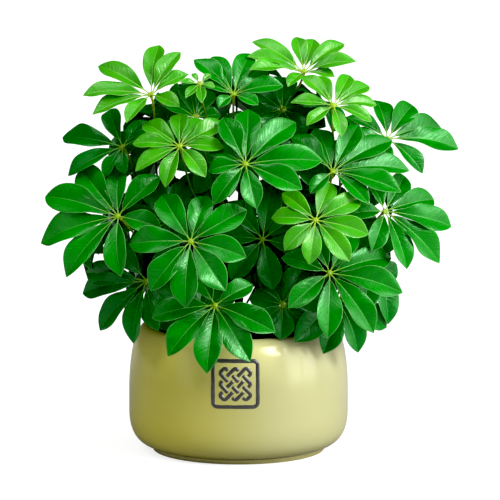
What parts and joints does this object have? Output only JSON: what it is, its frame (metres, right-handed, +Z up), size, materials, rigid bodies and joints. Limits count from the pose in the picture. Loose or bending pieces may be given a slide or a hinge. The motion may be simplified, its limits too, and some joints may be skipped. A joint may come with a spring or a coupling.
{
  "type": "potted umbrella plant",
  "caption": "Bushy umbrella plant with palmate leaves on long stalks, in a squat rounded glazed pot on a low drip saucer.",
  "frame": {"origin": "centre of the saucer's flat underside, on the surface that the plant stands on", "axes": "+Z up; the front of the plant, with its lowest overhanging leaves and the ornament on the pot, looks along -Y"},
  "size_m": [0.4168, 0.2945, 0.4166],
  "materials": {
    "pot_glaze": "gloss",
    "saucer_glaze": "gloss",
    "soil": "matte",
    "stem_bark": "matte",
    "young_leaf": "satin",
    "mature_leaf": "satin",
    "deep_leaf": "satin"
  },
  "bodies": {
    "root": {"saucer": "saucer_glaze", "pot": "pot_glaze", "soil": "soil", "stem_1": "stem_bark", "stem_2": "stem_bark", "stem_3": "stem_bark", "stem_4": "stem_bark", "stem_5": "stem_bark", "stem_6": "stem_bark", "leaf_01": "young_leaf", "leaf_02": "deep_leaf", "leaf_03": "young_leaf", "leaf_04": "young_leaf", "leaf_05": "mature_leaf", "leaf_06": "mature_leaf", "leaf_07": "young_leaf", "leaf_08": "young_leaf", "leaf_09": "mature_leaf", "leaf_10": "mature_leaf", "leaf_11": "mature_leaf", "leaf_12": "mature_leaf", "leaf_13": "deep_leaf", "leaf_14": "mature_leaf", "leaf_15": "young_leaf", "leaf_16": "mature_leaf", "leaf_17": "mature_leaf", "leaf_18": "deep_leaf", "leaf_19": "deep_leaf", "leaf_20": "deep_leaf", "leaf_21": "mature_leaf", "leaf_22": "deep_leaf", "leaf_23": "deep_leaf", "leaf_24": "deep_leaf", "leaf_25": "deep_leaf", "leaf_26": "deep_leaf", "leaf_27": "deep_leaf", "leaf_28": "deep_leaf", "leaf_29": "deep_leaf", "leaf_30": "deep_leaf", "leaf_31": "deep_leaf", "leaf_32": "deep_leaf", "leaf_33": "deep_leaf", "leaf_34": "deep_leaf", "leaf_35": "deep_leaf", "leaf_36": "deep_leaf", "leaf_37": "deep_leaf", "leaf_38": "deep_leaf", "leaf_39": "deep_leaf", "leaf_40": "deep_leaf", "leaf_41": "deep_leaf", "leaf_42": "deep_leaf", "leaf_43": "deep_leaf", "leaf_44": "deep_leaf", "leaf_45": "deep_leaf", "leaf_46": "deep_leaf", "leaf_47": "deep_leaf", "leaf_48": "deep_leaf", "leaf_49": "deep_leaf", "leaf_50": "deep_leaf", "leaf_51": "deep_leaf"}
  },
  "joints": []
}
